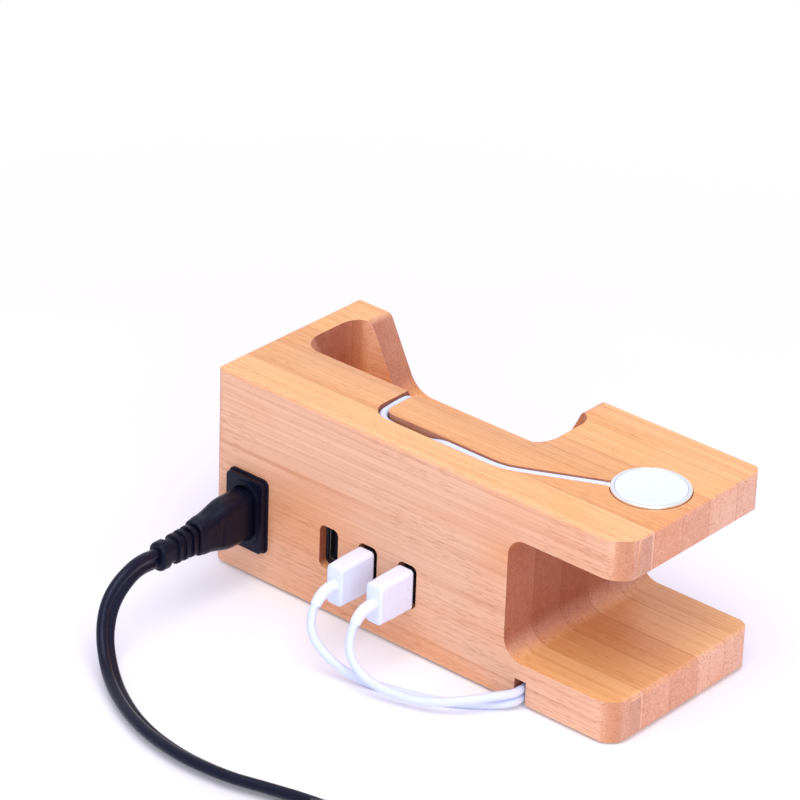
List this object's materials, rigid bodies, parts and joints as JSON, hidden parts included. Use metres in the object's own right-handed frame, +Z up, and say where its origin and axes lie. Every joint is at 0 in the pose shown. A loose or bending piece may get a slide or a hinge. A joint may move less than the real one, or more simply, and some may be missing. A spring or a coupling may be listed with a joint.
{
  "type": "charging station organizer",
  "caption": "Bamboo desk block with a leaning phone pocket, a watch arm over a foot, powered ports and a mains inlet in its back, and leads dressed through its grooves",
  "frame": {"origin": "on the surface the block stands on, under the middle of the block and its inlet flange together", "axes": "+X along the block from the watch arm to the mains inlet, +Y to the ports, +Z up"},
  "size_m": [0.2526, 0.2722, 0.0798],
  "materials": {
    "bamboo": "clear satin lacquer",
    "black_plastic": "moulded, soft gloss",
    "steel": "plain",
    "foot_rubber": "matte",
    "brass": "plain",
    "wire_skin": "plain",
    "board_green": "solder mask",
    "ferrite": "matte",
    "capacitor_sleeve": "shrunk sleeve",
    "winding": "enamelled wire",
    "aluminium": "plain",
    "black_cord": "smooth sheath",
    "tie": "matte",
    "white_plastic": "glossy",
    "white_lead": "smooth sheath"
  },
  "bodies": {
    "block": {"wood_block": "bamboo", "bottom_cover": "black_plastic", "cover_screws": "steel", "rubber_feet": "foot_rubber", "inlet_socket": "black_plastic", "inlet_pins": "brass", "inlet_wires": "wire_skin", "module_case": "black_plastic", "module_lid": "black_plastic", "case_screws": "steel", "power_board": "board_green", "transformer": "ferrite", "capacitors": "capacitor_sleeve", "filter_choke": "winding", "mains_fuse": "steel", "heat_sink": "aluminium", "usb_port_shells": "steel", "usb_port_tongues": "black_plastic", "watch_usb_plug": "white_plastic", "watch_usb_shell": "steel", "watch_usb_relief": "white_lead", "watch_lead": "white_lead", "watch_lead_inner": "white_lead", "charging_puck": "steel", "puck_face": "white_plastic", "phone_usb_plug": "white_plastic", "phone_usb_shell": "steel", "phone_usb_relief": "white_lead", "phone_lead": "white_lead", "phone_lead_inner": "white_lead", "phone_connector": "white_plastic", "phone_connector_tip": "steel"},
    "power_lead": {"mains_connector": "black_plastic", "connector_relief": "black_cord", "mains_cord": "black_cord", "mains_coil": "black_cord", "coil_tie": "tie", "wall_plug": "black_plastic", "plug_blades": "brass"}
  },
  "joints": [
    {"name": "mains_plug_slide", "type": "slide", "parent": "block", "child": "power_lead", "axis": [0, 1, 0], "range_m": [0, 0.018]}
  ]
}
